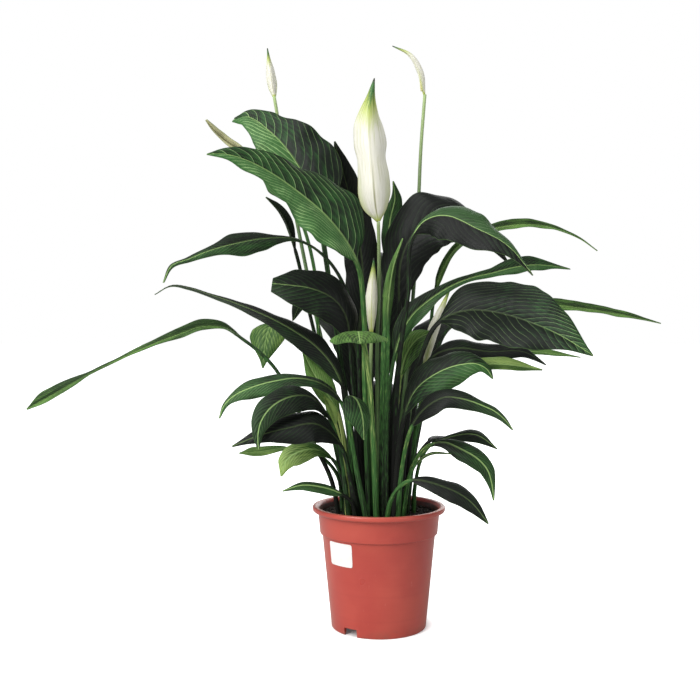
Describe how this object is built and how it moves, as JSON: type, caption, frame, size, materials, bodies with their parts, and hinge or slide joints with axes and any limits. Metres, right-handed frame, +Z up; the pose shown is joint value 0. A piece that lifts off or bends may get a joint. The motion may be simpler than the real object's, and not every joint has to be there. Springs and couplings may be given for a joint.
{
  "type": "potted peace lily",
  "caption": "Peace lily in a tapered plastic nursery pot: a clump of long-stalked glossy leaves that arch outwards, hooded white flowers on tall stalks, potting mix and a blank pot label",
  "frame": {"origin": "centre of the pot's foot, on the surface it stands on", "axes": "+Z up the pot's axis, +X along the plant's widest spread to the right of its show side, +Y to its back, so that the show side faces -Y"},
  "size_m": [0.818, 0.4383, 0.7553],
  "materials": {
    "pot_plastic": "satin",
    "label_paper": "satin",
    "potting_mix": "matte",
    "leaf_dark": "satin",
    "leaf_mid": "satin",
    "leaf_veined": "satin",
    "leaf_light": "satin",
    "leaf_pale": "satin",
    "leaf_dry": "matte",
    "flower_stalk": "satin",
    "spathe": "satin",
    "spadix": "matte"
  },
  "bodies": {
    "root": {"pot": "pot_plastic", "pot_label": "label_paper", "soil": "potting_mix", "leaf_upper_left_front": "leaf_veined", "leaf_upper_left_back": "leaf_veined", "leaf_upper_left_dark": "leaf_dark", "leaf_upper_left_dry": "leaf_dry", "leaf_left_under_front": "leaf_dark", "leaf_left_high_arch": "leaf_mid", "leaf_left_folded": "leaf_dark", "leaf_left_flat_dark": "leaf_dark", "leaf_left_long": "leaf_light", "leaf_left_pale_hanging": "leaf_pale", "leaf_left_small_streaked": "leaf_light", "leaf_low_left_high": "leaf_mid", "leaf_low_left_arch": "leaf_dark", "leaf_low_left_broad": "leaf_dark", "leaf_low_left_sliver": "leaf_pale", "leaf_low_left_hanging": "leaf_pale", "leaf_lowest_left": "leaf_mid", "leaf_front_hanging": "leaf_mid", "leaf_left_sheath": "leaf_pale", "leaf_front_folded": "leaf_light", "leaf_centre_young": "leaf_light", "leaf_behind_spathe": "leaf_mid", "leaf_right_top_dark": "leaf_dark", "leaf_right_front_arch": "leaf_dark", "leaf_right_narrow_high": "leaf_light", "leaf_right_long_arch": "leaf_mid", "leaf_right_broad": "leaf_veined", "leaf_right_under_dark": "leaf_dark", "leaf_right_under_olive": "leaf_pale", "leaf_right_under_tip": "leaf_light", "leaf_right_ribbon": "leaf_light", "leaf_right_inner_green": "leaf_light", "leaf_low_right_high": "leaf_mid", "leaf_low_right_arch": "leaf_dark", "leaf_low_right_flat": "leaf_dark", "leaf_low_right_hanging": "leaf_mid", "leaf_low_right_sliver": "leaf_dark", "leaf_lowest_right": "leaf_dark", "leaf_back_left": "leaf_dark", "leaf_back_middle": "leaf_dark", "leaf_back_right": "leaf_dark", "leaf_back_low_left": "leaf_dark", "leaf_back_low_middle": "leaf_dark", "leaf_back_low_right": "leaf_dark", "flower_main_stalk": "flower_stalk", "flower_main_spathe": "spathe", "flower_main_spadix": "spadix", "flower_left_tall_stalk": "flower_stalk", "flower_left_tall_spathe": "spathe", "flower_left_tall_spadix": "spadix", "flower_right_tall_stalk": "flower_stalk", "flower_right_tall_spathe": "spathe", "flower_right_tall_spadix": "spadix", "flower_low_left_stalk": "flower_stalk", "flower_low_left_spathe": "spathe", "flower_low_right_stalk": "flower_stalk", "flower_low_right_spathe": "spathe"}
  },
  "joints": []
}
